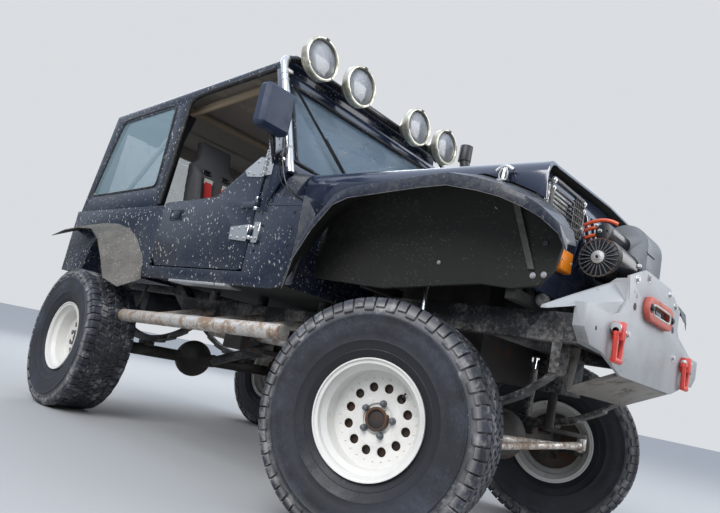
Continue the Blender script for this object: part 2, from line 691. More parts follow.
def tyre(node):
    middle, turn = wheelFrame(node)
    half = tyreForm["half"]
    ring = half + [(r, -h) for r, h in reversed(half)] + [(r, -h)
        for r, h in reversed(tyreForm["cavity"])] + tyreForm["cavity"]
    carcass = spun("carcass", ring, tyreForm["segments"], closed=True)
    carcass.data.attributes.new("tread", "FLOAT", "POINT")
    carcass.data.attributes.new("dusty", "FLOAT", "POINT")
    held, dusty = carcass.data.attributes["tread"], carcass.data.attributes["dusty"]
    for i, vertex in enumerate(carcass.data.vertices):
        reach = math.hypot(vertex.co.x, vertex.co.y)
        held.data[i].value = min(1.0, max(0.0, (reach - 0.352) / 0.024))
        dusty.data[i].value = 0.1 if reach < 0.262 else 0.45 if reach < 0.30 else 0.75 if reach < 0.35 else 1.0
    carcass.data.transform(Matrix.Translation(middle) @ turn.to_4x4())
    painted(carcass, materials["tyre_rubber"])
    spots = [(middle, turn @ Matrix.Rotation(math.tau * i / tyreForm["pitches"], 3, "Z"), 1.0)
        for i in range(tyreForm["pitches"])]
    lugs = repeated("lugs", treadUnit(), spots, materials["tyre_rubber"])
    finished(joined(f"{node}_tread", [carcass, lugs]), bodyOf[node], "tyre_rubber", stands=[node])


wheelParts = {"nutRing": 0.05715, "nutPhase": 59, "rivetRing": 0.1405, "rivets": 28, "pressed": 0.0905,
    "face": 0.013, "valve": -41}


def wheel(node):
    middle, turn = wheelFrame(node)
    back = turn.transposed()

    def hub(centre, normal):
        local = back @ (centre - middle)
        reach = math.hypot(local.x, local.y)
        return reach < 0.1425 and local.z < 0.0055 or reach < 0.0435 and local.z > 0.0135

    dress(node, 0.0012, 2, others=[(extras["hubRust"], hub)], corner=True)
    face = wheelParts["face"]

    def ringSpots(radius, count, phase, height):
        for i in range(count):
            angle = math.radians(phase) + math.tau * i / count
            yield (middle + turn @ Vector((radius * math.cos(angle), radius * math.sin(angle), height)), turn, 1.0)

    nut = spun("nut", [(0, 0), (0.0125, 0), (0.0125, 0.003), (0.0108, 0.0035), (0.0108, 0.014), (0.0095, 0.0195),
        (0.006, 0.0225), (0, 0.0235)], 12)
    nuts = repeated("nuts", nut, list(ringSpots(wheelParts["nutRing"], 5, wheelParts["nutPhase"], face - 0.001)),
        extras["winchGrey"])
    rivet = spun("rivet", [(0, 0), (0.0042, 0), (0.0038, 0.0016), (0.0022, 0.0028), (0, 0.0032)], 10)
    rivets = repeated("rivets", rivet,
        list(ringSpots(wheelParts["rivetRing"], wheelParts["rivets"], 4, face - 0.0004)), materials["wheel_paint"])
    radius = wheelParts["pressed"]
    pressed = spun("pressed", [(radius - 0.003, face - 0.0006), (radius - 0.0016, face + 0.0008),
        (radius + 0.0016, face + 0.0008), (radius + 0.003, face - 0.0006)], 72)
    pressed.data.transform(Matrix.Translation(middle) @ turn.to_4x4())
    painted(pressed, materials["wheel_paint"])
    # A rolled bead along the outer lip
    lip = [(0.1985, 0.1165), (0.199, 0.1182), (0.2010, 0.1190), (0.2030, 0.1184), (0.2034, 0.1168),
        (0.2020, 0.1150)]
    bead = spun("bead", lip, 96, closed=True)
    bead.data.transform(Matrix.Translation(middle) @ turn.to_4x4())
    painted(bead, materials["wheel_paint"])
    angle = math.radians(wheelParts["valve"])
    path = [middle + turn @ Vector((r * math.cos(angle), r * math.sin(angle), h))
        for r, h in ((0.112, 0.000), (0.119, 0.016), (0.129, 0.027), (0.139, 0.034))]
    valve = tube(blackGloss, "valve", path, 0.0042)
    finished(joined(f"{node}_fittings", [nuts, rivets, pressed, bead, valve]), bodyOf[node], "wheel_paint")


for node in sorted(frame["nodes"]):
    if node.startswith("tyre"):
        tyre(node)
    elif node.startswith("rim"):
        wheel(node)
print("wheels and tyres made")


# Body panels: the CAD forms with their edges broken and a second finish where the real one has it
def underFender(centre, normal):
    return normal.z < -0.25 or abs(centre.y) < 0.625 or (normal.y * centre.y < 0 and abs(normal.y) > 0.6)


def fenderLip(centre, normal):
    return normal.y * centre.y > 0.1 and -0.95 < normal.z < -0.12 and abs(centre.y) > 0.68


def topInside(centre, normal):
    if centre.z > 1.93:
        return normal.z < -0.4 and abs(centre.y) < 0.69
    inward = normal.y * centre.y < -0.03 and abs(centre.y) > 0.6 and abs(normal.y) > 0.5
    return inward or (centre.x < -1.7 and normal.x > 0.5)


def tubInside(centre, normal):
    inward = abs(centre.y) < 0.75 and centre.z < 1.27 and centre.x < 0.37
    return inward and (normal.z > 0.5 or normal.y * centre.y < -0.1) or (normal.z < -0.4 and centre.z < 1.15)


def onCowl(centre, normal):
    return abs(centre.y) > 0.7615 and 1.255 < centre.z < 1.505 and at(-0.952) < centre.x < at(-0.79)


def winchHousing(centre, normal):
    return -0.1405 < centre.y < 0.0625 and not (normal.y < -0.9 and centre.y < -0.139)


dressing = {  # node: edge width, main finish, other finishes by face
    "body_tub": (0.006, None, [(extras["archMud"], tubInside)]),
    "hardtop": (0.004, None, [(extras["headliner"], topInside)]),
    "hood": (0.010, extras["hoodBlue"], [(extras["archMud"], lambda c, n: n.z < -0.3)]),
    "door_right": (0.005, None, []),
    "door_left": (0.005, None, []),
    "front_fender_right": (0.0038, extras["fenderMud"],
        [(extras["lipEdge"], fenderLip), (extras["archMud"], underFender)]),
    "front_fender_left": (0.0038, extras["fenderMud"],
        [(extras["lipEdge"], fenderLip), (extras["archMud"], underFender)]),
    "rear_flares": (0.004, None, [(extras["archMud"], lambda c, n: n.z < -0.3)]),
    "mirrors": (0.02, extras["mirrorBlue"], []),
    "winch": (0.006, blackGloss, [(extras["winchGrey"], winchHousing), (silverDust, lambda c, n: c.y > 0.064)]),
    "grille": (0.004, extras["hoodBlue"], []),
    "light_bar": (0.002, blackGloss, [(materials["polished_metal"], lambda c, n: abs(c.y) > 0.70)]),
    "roof_lamps": (0.002, extras["strawChrome"], []),
    "headlights": (0.004, extras["creamLens"], []),
    "turn_signals": (0.006, None, []),
    "dashboard": (0.015, None, []),
    "windshield_frame": (0.005, extras["hoodBlue"], []),
    "windshield_glass": (0.001, extras["windshield"], []),
    "hinge_brackets": (0.0015, None,
        [(materials["body_paint"], onCowl), (blackGloss, lambda c, n: abs(c.y) > 0.79)]),
    "shock_absorbers": (0.002, None, [(materials["polished_metal"], lambda c, n: c.x > 0 and 0.80 < c.z < 0.985)]),
    "fairlead": (0.004, extras["hawseRed"], []),
    "bow_shackles": (0.003, None, []),
    "front_bumper": (0.0022, None, [(extras["skidMetal"],
        lambda c, n: c.z < 0.765 and n.x < 0.9 and abs(c.y) < 0.3)]),
    "tailgate": (0.005, None, []),
    "rear_bumper": (0.004, None, []),
}
apart = ("tyre", "rim", "front_seats", "roof_lamp_lenses", "roll_cage")
for node in sorted(frame["nodes"]):
    if not node.startswith(apart):
        width, main, others = dressing.get(node, (0.002, None, []))
        dress(node, width, 2, main, others)
print("CAD solids dressed")


# Front end: winch fins and leads, lamp guards, bumper bolts, hood catches and fender parts
frontParts = {
    "motor": (at(0.526), -0.300, 1.138), "motorRadius": 0.068, "fins": 22, "ribFoot": -0.162,
    "cap": [(0, 0), (0.026, 0), (0.0265, 0.006), (0.024, 0.010), (0.012, 0.011), (0.0115, 0.013), (0, 0.013)],
    "screw": [(0, 0.012), (0.006, 0.012), (0.006, 0.017), (0, 0.018)],
    "rim": [(0.001, -0.004), (0.0065, -0.004), (0.0065, 0.004), (0.001, 0.004)], "rimShift": 0.003,
    "second": [(0, 0), (0.022, 0), (0.022, 0.118), (0.019, 0.124), (0, 0.124)],
    "secondFoot": (at(0.545), -0.165, 1.232),
    "studs": [(0.503, -0.299, 1.262), (0.519, -0.299, 1.240), (0.545, -0.288, 1.240)],
    "coverBolts": [(0.475, 1.300), (0.618, 1.150), (0.618, 1.030), (0.475, 0.945)], "coverY": -0.1405,
    "lever": [(0.455, -0.147, 1.242), (0.500, -0.150, 1.243), (0.534, -0.147, 1.246)],
    "seam": [(0.637, -0.139, 1.205), (0.637, -0.04, 1.205)],
    "drum": (at(0.545), 0.068, 0.985), "coil": 0.056, "coilLength": 0.176, "coilTurns": 15, "coilSteps": 16,
    "leads": [
        [(0.405, 1.270), (0.425, 1.292), (0.484, 1.310), (0.530, 1.303), (0.548, 1.292)],
        [(0.405, 1.246), (0.425, 1.262), (0.457, 1.280), (0.495, 1.276)],
        [(0.405, 1.212), (0.424, 1.229), (0.461, 1.248), (0.490, 1.250)],
    ],
    "leadY": -0.230, "leadStep": 0.004,
    "faceBolts": [(-0.117, 1.110), (0.150, 1.108), (0.236, 1.078), (-0.236, 1.078), (0.270, 0.870), (-0.270, 0.870)],
    "faceHoles": [(-0.230, 0.978, 1.5), (-0.547, 0.841, 0.8), (0.230, 0.978, 1.5), (0.547, 0.841, 0.8)],
    "hawse": (0.085, 0.020, 0.997), "hawseBolts": [-0.125, 0.125],
    "pin": [(0, 0), (0.017, 0), (0.017, 0.012), (0.011, 0.014), (0.011, 0.070), (0, 0.072)],
    "pinPlace": (0.668, 0.436, 0.868),
    "guard": (0.454, 0.445, 0.131), "guardHeights": (1.240, 1.311, 1.340), "signal": (0.452, 0.389, 0.038, 1.095),
    "catchPlace": (0.285, 0.640),
    "strut": [(0.332, 0.626, 1.250), (0.356, 0.624, 1.250), (0.449, 0.616, 1.006), (0.425, 0.616, 1.006)],
    "apron": 0.6125, "washers": [(0.443, 0.986, 0.8), (0.482, 0.990, 0.8), (0.05, 1.02, 0.6)],
    "plug": [(0, 0), (0.011, 0), (0.010, 0.004), (0, 0.0045)], "plugPlace": (0.473, 1.097),
    "wire": [(0.255, -0.612, 1.235), (0.290, -0.606, 1.205), (0.318, -0.600, 1.165), (0.322, -0.604, 1.128)],
    "mount": [(0, 0), (0.021, 0), (0.024, 0.008), (0.022, 0.034), (0.012, 0.044), (0, 0.046)],
    "mountPlace": (at(0.395), -0.416, 0.938),
    "railHoles": [0.60, 0.36, 0.18, -0.30, -0.62, -1.10], "railSide": 0.412,
}


def boltUnit(radius=0.009, height=0.007):
    profile = [(0, 0), (radius * 1.6, 0), (radius * 1.55, 0.0018), (radius, 0.0018)]
    return spun("bolt", profile + [(radius, height * 0.85), (radius * 0.85, height), (0, height)], 18)


def bolts(name, body, spots, direction, material, radius=0.009, height=0.007, slot="bare_steel"):
    turn = turnTo(direction, (0, 0, 1) if abs(direction[2]) < 0.9 else (1, 0, 0))
    piece = repeated(name, boltUnit(radius, height), [(place, turn, 1.0) for place in spots], material)
    return finished(piece, body, slot)


def winchParts():
    x, y, z = frontParts["motor"]
    radius, count = frontParts["motorRadius"], frontParts["fins"]
    outward = turnTo((0, -1, 0))

    def ringed(name, fin, foot, material):
        turns = [outward @ Matrix.Rotation(math.tau * i / count, 3, "Z") for i in range(count)]
        return repeated(name, fin, [((x, foot, z), turn, 1.0) for turn in turns], material)

    fin = brick("fin", (radius * 0.42, -0.0011, 0), (radius + 0.005, 0.0016, 0.006))
    parts = [ringed("blades", fin, y, extras["winchGrey"])]
    fin = brick("fin", (radius - 0.002, -0.0018, 0), (radius + 0.006, 0.0018, 0.118))
    parts.append(ringed("ribs", fin, frontParts["ribFoot"], blackGloss))
    parts.append(turned(silverDust, "cap", frontParts["cap"], 32, (x, y, z), outward))
    parts.append(turned(blackGloss, "screw", frontParts["screw"], 6, (x, y, z), outward))
    rim = [(radius + reach, height) for reach, height in frontParts["rim"]]
    parts.append(turned(extras["hubRust"], "rim", rim, 48, (x, y + frontParts["rimShift"], z), outward, True))
    parts.append(turned(blackGloss, "second", frontParts["second"], 32, frontParts["secondFoot"], outward))
    studs = [(place, outward, 1.0) for place in along(frontParts["studs"])]
    parts.append(repeated("studs", boltUnit(0.005, 0.012), studs, silverDust))
    # The clutch lever, the bolts and the seam of the housing's cover
    parts.append(tube(silverDust, "lever", along(frontParts["lever"]), 0.006))
    cover = [(place, outward, 1.0) for place in onSide(frontParts["coverBolts"], 1, frontParts["coverY"])]
    parts.append(repeated("cover", boltUnit(0.006, 0.006), cover, silverDust))
    parts.append(tube(blackGloss, "seam", along(frontParts["seam"]), 0.0018, False))
    # Wire rope on the drum
    drum, coil, steps = frontParts["drum"], frontParts["coil"], frontParts["coilSteps"]
    last = frontParts["coilTurns"] * steps
    length = frontParts["coilLength"]
    rope = []
    for i in range(last + 1):
        angle = math.tau * i / steps
        rope.append((drum[0] + coil * math.cos(angle), drum[1] + length * i / last, drum[2] + coil * math.sin(angle)))
    parts.append(tube(silverDust, "rope", rope, 0.0058, False))
    for path in frontParts["leads"]:
        points = [(at(px), frontParts["leadY"] + frontParts["leadStep"] * i, pz) for i, (px, pz) in enumerate(path)]
        parts.append(tube(extras["orangeLead"], "lead", points, 0.0075))
    finished(joined("winch_fittings", parts), "chassis", "trim_plastic")


def hawseRim(face):
    # The rolled edge round the fairlead's slot, from two half circles
    half, radius, height = frontParts["hawse"]
    points = []
    for end in (1, -1):
        for k in range(7):
            angle = end * (k * math.pi / 6 - math.pi / 2)
            y = math.copysign(half + radius * math.cos(angle), end)
            points.append((face, y, height + radius * math.sin(angle)))
    return run("hawse_rim", points, 0.004, closed=True)


winchParts()
forward, bumperFace = (1, 0, 0), at(0.650)
faceBolts = [(bumperFace, y, z) for y, z in frontParts["faceBolts"]]
bolts("bumper_bolts", "chassis", faceBolts, forward, silverDust, 0.010, 0.009)
hawseBolts = [(bumperFace + 0.024, y, frontParts["hawse"][2]) for y in frontParts["hawseBolts"]]
bolts("hawse_bolts", "chassis", hawseBolts, forward, blackGloss, 0.011, 0.009)
holes = [((bumperFace, y, z), turnTo(forward), size) for y, z, size in frontParts["faceHoles"]]
holes = repeated("face_holes", spun("hole", [(0, 0), (0.009, 0), (0.0092, 0.0008), (0, 0.0009)], 24), holes, blackGloss)
finished(holes, "chassis", "bumper_paint")
finished(hawseRim(bumperFace + 0.0235), "chassis", "bare_steel", extras["paleStrap"])
for side in (-1, 1):
    pin = spun("pin", frontParts["pin"], 24, along([frontParts["pinPlace"]], side)[0], turnTo((0, -side, 0)))
    finished(pin, "chassis", "bare_steel", silverDust)
x, y, reach = frontParts["guard"]
posts = [(at(x), side * (y + dy), z) for side in (-1, 1) for dy in (-reach, reach) for z in frontParts["guardHeights"]]
bolts("guard_bolts", "chassis", posts, forward, silverDust, 0.006, 0.006)
x, y, reach, z = frontParts["signal"]
screws = [(at(x), side * (y + dy), z) for side in (-1, 1) for dy in (-reach, reach)]
bolts("signal_screws", "chassis", screws, forward, silverDust, 0.003, 0.002)


def hoodCatch(side):
    # A cast T over a spring loop, from the fender's top to the hood's side
    steel = materials["polished_metal"]
    x, y = at(frontParts["catchPlace"][0]), side * frontParts["catchPlace"][1]
    parts = [block(steel, "base", (x - 0.020, y - 0.010, 1.322), (x + 0.020, y + 0.010, 1.330))]

    def rod(name, path, radius):
        parts.append(tube(steel, name, [(x + dx, y - side * dy, z) for dx, dy, z in path], radius))

    rod("neck", [(0, 0, 1.328), (0, 0.002, 1.350), (0, 0.004, 1.372)], 0.0075)
    tee = [(-0.034, 0.006, 1.366), (-0.014, 0.003, 1.379), (0, 0, 1.381), (0.014, 0.003, 1.379), (0.034, 0.006, 1.366)]
    rod("tee", tee, 0.0075)
    for dx in (-0.014, 0.014):
        rod("loop", [(dx, 0, 1.330), (dx * 1.6, -0.004, 1.350), (dx * 0.5, 0, 1.374)], 0.004)
    finished(joined(f"hood_catch_{sideName(side)}", parts), "chassis", "polished_metal")


def fenderParts(side):
    outward, y = turnTo((0, side, 0)), side * frontParts["apron"]
    strut = plate("strut", along(frontParts["strut"], side), 0.005, (0, side, 0))
    parts = [painted(bevelled(strut, 0.001), extras["archSteel"])]
    washers = [((at(dx), y, z), outward, size) for dx, z, size in frontParts["washers"]]
    parts.append(repeated("washers", boltUnit(0.0085, 0.008), washers, silverDust))
    x, z = frontParts["plugPlace"]
    parts.append(turned(blackGloss, "plug", frontParts["plug"], 24, (at(x), y, z), outward))
    finished(joined(f"fender_fittings_{sideName(side)}", parts), "chassis", "bare_steel")


for side in (-1, 1):
    hoodCatch(side)
    fenderParts(side)
finished(run("fender_wire", along(frontParts["wire"]), 0.0018), "chassis", "frame_paint", extras["paleStrap"])
mount = spun("mount", frontParts["mount"], 32, frontParts["mountPlace"], turnTo((0.3, -1, 0)))
finished(mount, "chassis", "frame_paint", extras["lipEdge"])
spots = []
for i, x in enumerate(frontParts["railHoles"]):
    for side in (-1, 1):
        place = (at(x), side * frontParts["railSide"], 0.86 if x > -0.5 else 0.70)
        spots.append((place, turnTo((0, side, 0)), 1 + 0.3 * (i % 2)))
hole = spun("hole", [(0, 0), (0.011, 0), (0.0115, 0.0012), (0, 0.0013)], 20)
finished(repeated("rail_holes", hole, spots, blackGloss), "chassis", "frame_paint")
print("front end fitted")


# Roof lamps: domed fluted lenses, rolled rims, clips and feet
lampParts = {
    "places": (-0.590, -0.275, 0.275, 0.590), "face": at(-0.966), "height": 2.116, "clipRing": 0.1085,
    "dome": [(0, 0.0225), (0.030, 0.0215), (0.060, 0.0180), (0.085, 0.0120), (0.1035, 0.0030), (0.1035, -0.001),
        (0, -0.001)],
    "rim": [(0.1025, 0.006), (0.1030, 0.0155), (0.1065, 0.0195), (0.1120, 0.0195), (0.1158, 0.0155),
        (0.1165, 0.004), (0.1150, 0.002)],
    "band": [(0.1125, -0.030), (0.1168, -0.028), (0.1168, -0.016), (0.1155, -0.012)],
    "foot": [(-1.080, 0, 2.098), (-1.045, 0, 2.040), (-1.020, 0, 2.014)],
    "wire": [(-1.078, 0.02, 2.110), (-1.105, 0.045, 2.088), (-1.120, 0.11, 2.108)],
    "legFoot": Vector((0.439, 0, 1.400)), "legTop": Vector((0.170, 0, 2.059)), "legY": 0.738,
    "clamp": [(0.0205, -0.005), (0.0228, -0.005), (0.0228, 0.005), (0.0205, 0.005)],
}


def roofLamps():
    forward, straw = turnTo((1, 0, 0)), extras["strawChrome"]
    x, height, reach = lampParts["face"], lampParts["height"], lampParts["clipRing"]
    lenses, trims = [], []
    for y in lampParts["places"]:
        place = (x, y, height)
        lenses.append(turned(materials["clear_lens"], "dome", lampParts["dome"], 72, place, forward))
        trims.append(turned(straw, "rim", lampParts["rim"], 72, place, forward, True))
        trims.append(turned(straw, "band", lampParts["band"], 72, place, forward))
        for turn in (0.0, 2.2, -2.2):
            clip = brick("clip", (-0.022, -0.011, -0.004), (0.018, 0.011, 0.008 if turn == 0 else 0.0075))
            spot = Matrix.Translation((x + 0.006, y + math.sin(turn) * reach, height + math.cos(turn) * reach))
            clip.data.transform(spot @ Matrix.Rotation(-turn, 4, "X"))
            trims.append(painted(bevelled(clip, 0.002), blackGloss if turn == 0 else straw))
        for part, radius in (("foot", 0.006), ("wire", 0.003)):
            trims.append(tube(blackGloss, part, [(at(px), y + py, pz) for px, py, pz in lampParts[part]], radius))
    finished(joined("roof_lamp_glass", lenses), "chassis", "clear_lens", stands=["roof_lamp_lenses"])
    finished(joined("roof_lamp_trim", trims), "chassis", "polished_metal")


roofLamps()
clamps = []
foot, top, legY = lampParts["legFoot"], lampParts["legTop"], lampParts["legY"]
for side in (-1, 1):
    for share in (0.80, 0.86, 0.20):
        spot = foot.lerp(top, share) + Vector((0, side * legY, 0))
        clamps.append(turned(silverDust, "clamp", lampParts["clamp"], 32, spot, turnTo(top - foot, (0, 1, 0)), True))
    clamps.append(block(silverDust, "tab", *sided(side, (0.205, legY, 1.985), (0.222, 0.700, 2.000))))
finished(joined("light_bar_clamps", clamps), "chassis", "polished_metal")
print("roof lamps and light bar fitted")


# Windshield: seal, wipers, sun visors and the inside mirror
rake = math.radians(22.5)
glassNormal = Vector((math.cos(rake), 0, math.sin(rake)))
footHeight = 1.414
glassFoot, glassUp = Vector((at(-0.860), 0, footHeight)), Vector((-math.sin(rake), 0, math.cos(rake)))


def onGlass(y, up, proud=0.0):
    return glassFoot + glassUp * up + glassNormal * proud + Vector((0, y, 0))


def roundedLoop(half, low, high, corner, proud, middle=0.0):
    path = []
    for cy, cz, start in ((1, 1, 0), (-1, 1, 90), (-1, -1, 180), (1, -1, 270)):
        for k in range(4):
            angle = math.radians(start + 30 * k)
            y = middle + cy * (half - corner) + corner * math.cos(angle)
            z = (high if cz > 0 else low) - cz * corner + corner * math.sin(angle)
            path.append(onGlass(y, z, proud))
    return path


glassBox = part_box("windshield_glass")
glassHalf = glassBox[1][1]
glassLow = (glassBox[0][2] - footHeight) / math.cos(rake)
glassHigh = (glassBox[1][2] - footHeight) / math.cos(rake)
finished(run("windshield_seal", roundedLoop(glassHalf + 0.002, glassLow - 0.002, glassHigh + 0.002, 0.04, 0.0),
    0.008, closed=True), "chassis", "trim_plastic", extras["seal"])


def wiper(side):
    # Places on the glass: distance from the middle, distance up, and how far it stands off
    foot, first, last = side * 0.235, Vector((side * 0.280, 0.135)), Vector((side * 0.655, 0.600))
    parts = [turned(blackGloss, "pivot", [(0, -0.02), (0.016, -0.02), (0.016, 0.022), (0.010, 0.028), (0, 0.028)],
        20, onGlass(foot, 0.045), turnTo(glassNormal))]
    bend, end = foot + side * 0.03, foot + side * 0.20
    arm = [onGlass(foot, 0.045, 0.026), onGlass(bend, 0.10, 0.030), onGlass(end, 0.33, 0.022)]
    parts.append(tube(blackGloss, "arm", arm, 0.0055))
    parts.append(tube(blackGloss, "blade", [onGlass(*first, 0.010), onGlass(*last, 0.010)], 0.006, False))
    for low, high in ((0.06, 0.44), (0.56, 0.94), (0.25, 0.75)):
        a, b = first.lerp(last, low), first.lerp(last, high)
        bow = [onGlass(*a, 0.013), onGlass(*(a + b) / 2, 0.024), onGlass(*b, 0.013)]
        parts.append(tube(blackGloss, "bow", bow, 0.0032))
    finished(joined(f"wiper_{sideName(side)}", parts), "chassis", "trim_plastic")


def softPad(name, size, thickness, fullness=2.6, rows=18):
    # A crowned closed pad on the local XY plane, its sides pulled in between the corners
    shape = bmesh.new()
    width, depth = size
    layers = []
    for face in (1, -1):
        grid = []
        for i in range(rows + 1):
            line = []
            for j in range(rows + 1):
                u, v = 2 * i / rows - 1, 2 * j / rows - 1
                pull = 1 - 0.02 * (1 - v * v) - 0.012 * (1 - u * u)
                crown = (max(0.0, 1 - abs(u) ** fullness) * max(0.0, 1 - abs(v) ** fullness)) ** 0.42
                sag = 1 + 0.10 * math.sin(3.1 * u + 1.7) * math.cos(2.3 * v)
                squash = 1 - 0.06 * (abs(u) * abs(v)) ** 4
                line.append(shape.verts.new((u * width / 2 * pull * squash, v * depth / 2 * pull * squash,
                    face * thickness / 2 * crown * sag)))
            grid.append(line)
        layers.append(grid)
    for grid in layers:
        for i in range(rows):
            for j in range(rows):
                shape.faces.new([grid[i][j], grid[i + 1][j], grid[i + 1][j + 1], grid[i][j + 1]])
    bmesh.ops.remove_doubles(shape, verts=shape.verts, dist=0.0001)
    return fromShape(name, shape)


def visor(side):
    pad = softPad("pad", (0.315, 0.165), 0.022)
    middle = onGlass(side * 0.315, 0.475, -0.085)
    across, rise = Vector((0, 1, 0)), (glassUp * 0.93 - glassNormal * 0.36).normalized()
    turn = Matrix((across, rise, across.cross(rise))).transposed().to_4x4()
    pad.data.transform(Matrix.Translation(middle) @ turn)
    pad.data.shade_smooth()
    painted(pad, extras["blackCloth"])
    piece = joined(f"sun_visor_{sideName(side)}", [pad])
    finished(piece, "chassis", "seat_cloth")
    top = middle + rise * 0.080
    rod = [top - across * 0.15, top + across * 0.15, top + across * 0.158 + rise * 0.018]
    rod.append(top + across * 0.158 + rise * 0.045 + Vector((0.012, 0, 0)))
    finished(run(f"visor_rod_{sideName(side)}", rod, 0.005), "chassis", "trim_plastic", blackGloss)


def insideMirror():
    back = softPad("insideMirror", (0.21, 0.06), 0.03, 5.0, 10)
    middle = onGlass(0.0, 0.505, -0.09)
    turn = Matrix((Vector((0, 1, 0)), glassUp, -glassNormal)).transposed().to_4x4()
    back.data.transform(Matrix.Translation(middle) @ turn)
    arm = tube(blackGloss, "arm", [middle, onGlass(0.0, 0.53, -0.05), onGlass(0.0, 0.545, -0.030)], 0.006)
    painted(back, blackGloss).data.shade_smooth()
    finished(joined("inside_mirror", [back, arm]), "chassis", "trim_plastic")


for side in (-1, 1):
    wiper(side)
    visor(side)
insideMirror()
screwPlaces = ((0.685, 0.12), (0.685, 0.30), (0.685, 0.48), (0.22, 0.03), (0.44, 0.03))
screws = [onGlass(side * y, up) for side in (-1, 1) for y, up in screwPlaces]
bolts("windshield_screws", "chassis", screws, tuple(glassNormal), silverDust, 0.005, 0.004)
print("windshield fitted")


# Sides: mirrors, hinge plates, door furniture, seals and the ribs under the roof
def landing(node):
    # Where a ray meets the CAD solid
    shape = bmesh.new()
    shape.from_mesh(frame["nodes"][node].data)
    tree = BVHTree.FromBMesh(shape)
    shape.free()
    return lambda place, direction: tree.ray_cast(Vector(place), Vector(direction))[0]


def leanY(z):  # half width of the hardtop at a height
    return 0.750 - 0.050 * (z - 1.270) / 0.860


sideParts = {
    "upperPlate": [(-1.142, 1.430), (-1.033, 1.493), (-0.983, 1.485), (-0.983, 1.384), (-1.112, 1.394)],
    "upperLeaf": [(-0.968, 1.482), (-0.925, 1.492), (-0.905, 1.470), (-0.905, 1.388), (-0.968, 1.384)],
    "lowerPlate": [(-1.136, 1.128), (-0.985, 1.137), (-0.985, 1.052), (-1.128, 1.062)],
    "lowerLeaf": [(-0.945, 1.150), (-0.900, 1.148), (-0.900, 1.046), (-0.945, 1.046)],
    "drilled": [(-0.978, 1.616), (-0.905, 1.606), (-0.868, 1.570), (-0.850, 1.505), (-0.915, 1.468),
        (-0.940, 1.470)],
    "stamping": [(-0.915, 1.362), (-0.862, 1.356), (-0.858, 1.250), (-0.905, 1.250)],
    "handle": (-1.7149, 1.208), "handleHalf": (0.062, 0.030),
    "opening": [(-1.182, 2.046), (-1.560, 2.034), (-1.950, 2.018), (-2.003, 1.992), (-2.014, 1.940),
        (-2.004, 1.700), (-1.994, 1.450), (-1.990, 1.290)],
    "window": [(-2.180, -0.081), (-2.900, -0.098), (-3.020, 1.390), (-2.095, 1.410)],
}


def sidePlate(name, outline, side, y, thick, material):
    piece = plate(name, onSide(outline, side, y), thick, (0, side, 0))
    return painted(bevelled(piece, 0.0012, 1), material)


def sideBolts(name, spots, side, y, material, radius=0.006, height=0.005):
    return repeated(name, boltUnit(radius, height),
        [(place, turnTo((0, side, 0)), 1.0) for place in onSide(spots, side, y)], material)


def barrel(side, low, high):
    parts = []
    z = low
    while z < high - 0.01:
        top = min(high, z + 0.030)
        parts.append(turned(materials["polished_metal"], "barrel",
            [(0, z), (0.0075, z), (0.009, z + 0.002), (0.009, top - 0.003), (0.0075, top - 0.0015),
            (0, top - 0.0015)], 20, (at(-0.960), side * 0.779, 0)))
        z = top
    return parts


